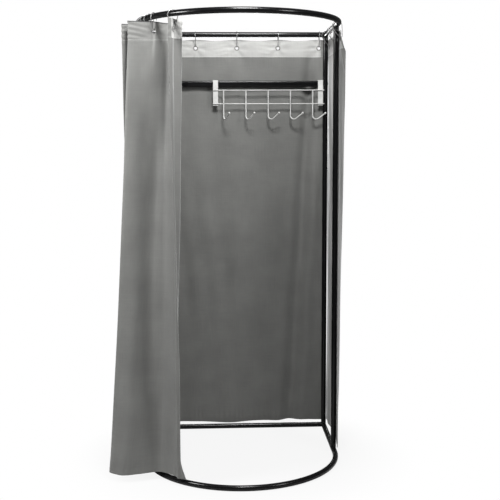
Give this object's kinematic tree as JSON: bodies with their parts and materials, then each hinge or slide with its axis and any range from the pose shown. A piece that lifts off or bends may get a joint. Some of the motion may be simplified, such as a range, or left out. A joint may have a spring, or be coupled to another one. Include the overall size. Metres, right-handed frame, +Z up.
{
  "type": "portable fitting room",
  "caption": "Free-standing D-shaped tube frame with a curtained doorway, cloth back and side walls on wire rings, a hanging rail and a sliding wire rack of coat hooks.",
  "frame": {"origin": "on the floor, under the middle of the base back bar, on the underside of that tube", "axes": "+Z up along the posts; +X to the right of a person who faces the doorway; the bow and the doorway are towards -Y"},
  "size_m": [1.0614, 0.8996, 2.0041],
  "materials": {
    "black_enamel": "gloss black enamel on steel tube",
    "moulded_black": "satin black moulded nylon",
    "zinc": "bright zinc plate",
    "white_coat": "white powder coat",
    "ring_wire": "nickel-plated steel wire",
    "cloth": "mid-grey woven polyester with a pale grey heading band"
  },
  "bodies": {
    "frame": {"base_bow_tube": "black_enamel", "base_back_tube": "black_enamel", "base_left_side_tube": "black_enamel", "base_back_left_corner": "moulded_black", "base_front_left_tee": "moulded_black", "base_right_side_tube": "black_enamel", "base_back_right_corner": "moulded_black", "base_front_right_tee": "moulded_black", "top_bow_tube": "black_enamel", "top_back_tube": "black_enamel", "top_left_side_tube": "black_enamel", "top_back_left_corner": "moulded_black", "top_front_left_tee": "moulded_black", "top_right_side_tube": "black_enamel", "top_back_right_corner": "moulded_black", "top_front_right_tee": "moulded_black", "back_left_post_lower": "black_enamel", "back_left_post_upper": "black_enamel", "back_right_post_lower": "black_enamel", "back_right_post_upper": "black_enamel", "front_left_post_lower": "black_enamel", "front_left_post_upper": "black_enamel", "front_right_post_lower": "black_enamel", "front_right_post_upper": "black_enamel", "hanging_rail": "black_enamel", "rail_left_plug": "moulded_black", "rail_left_bolt": "zinc", "rail_right_plug": "moulded_black", "rail_right_bolt": "zinc", "back_ring_1": "ring_wire", "back_ring_2": "ring_wire", "back_ring_3": "ring_wire", "back_ring_4": "ring_wire", "back_ring_5": "ring_wire", "left_ring_1": "ring_wire", "left_ring_2": "ring_wire", "left_ring_3": "ring_wire", "right_ring_1": "ring_wire", "right_ring_2": "ring_wire", "right_ring_3": "ring_wire", "back_curtain": "cloth", "left_curtain": "cloth", "right_curtain": "cloth", "front_curtain": "cloth", "front_ring_1": "ring_wire"},
    "hook_rack": {"rack_left_strap": "white_coat", "rack_right_strap": "white_coat", "rack_upper_wire": "white_coat", "rack_lower_wire": "white_coat", "coat_hook_1": "white_coat", "coat_hook_2": "white_coat", "coat_hook_3": "white_coat", "coat_hook_4": "white_coat", "coat_hook_5": "white_coat"},
    "ring_2": {"front_ring_2": "ring_wire"},
    "ring_3": {"front_ring_3": "ring_wire"},
    "ring_4": {"front_ring_4": "ring_wire"},
    "ring_5": {"front_ring_5": "ring_wire"},
    "ring_6": {"front_ring_6": "ring_wire"},
    "ring_7": {"front_ring_7": "ring_wire"}
  },
  "joints": [
    {"name": "curtain_draw", "type": "hinge", "parent": "frame", "child": "ring_7", "pos_m": [0, -0.425, 0], "axis": [0, 0, 1], "range_deg": [0, 114], "deforming": ["front_curtain"]},
    {"name": "second_ring_draw", "type": "hinge", "parent": "frame", "child": "ring_2", "pos_m": [0, -0.425, 0], "axis": [0, 0, 1], "range_deg": [0, 6.7]},
    {"name": "third_ring_draw", "type": "hinge", "parent": "frame", "child": "ring_3", "pos_m": [0, -0.425, 0], "axis": [0, 0, 1], "range_deg": [0, 24.3]},
    {"name": "fourth_ring_draw", "type": "hinge", "parent": "frame", "child": "ring_4", "pos_m": [0, -0.425, 0], "axis": [0, 0, 1], "range_deg": [0, 48.8]},
    {"name": "fifth_ring_draw", "type": "hinge", "parent": "frame", "child": "ring_5", "pos_m": [0, -0.425, 0], "axis": [0, 0, 1], "range_deg": [0, 75.2]},
    {"name": "sixth_ring_draw", "type": "hinge", "parent": "frame", "child": "ring_6", "pos_m": [0, -0.425, 0], "axis": [0, 0, 1], "range_deg": [0, 97.9]},
    {"name": "rack_slide", "type": "slide", "parent": "frame", "child": "hook_rack", "axis": [1, 0, 0], "range_m": [-0.304, 0]}
  ],
  "couplings": [
    {"joint": "second_ring_draw", "follows": "curtain_draw", "ratio": 0.058},
    {"joint": "third_ring_draw", "follows": "curtain_draw", "ratio": 0.2129},
    {"joint": "fourth_ring_draw", "follows": "curtain_draw", "ratio": 0.428},
    {"joint": "fifth_ring_draw", "follows": "curtain_draw", "ratio": 0.6591},
    {"joint": "sixth_ring_draw", "follows": "curtain_draw", "ratio": 0.8585}
  ]
}
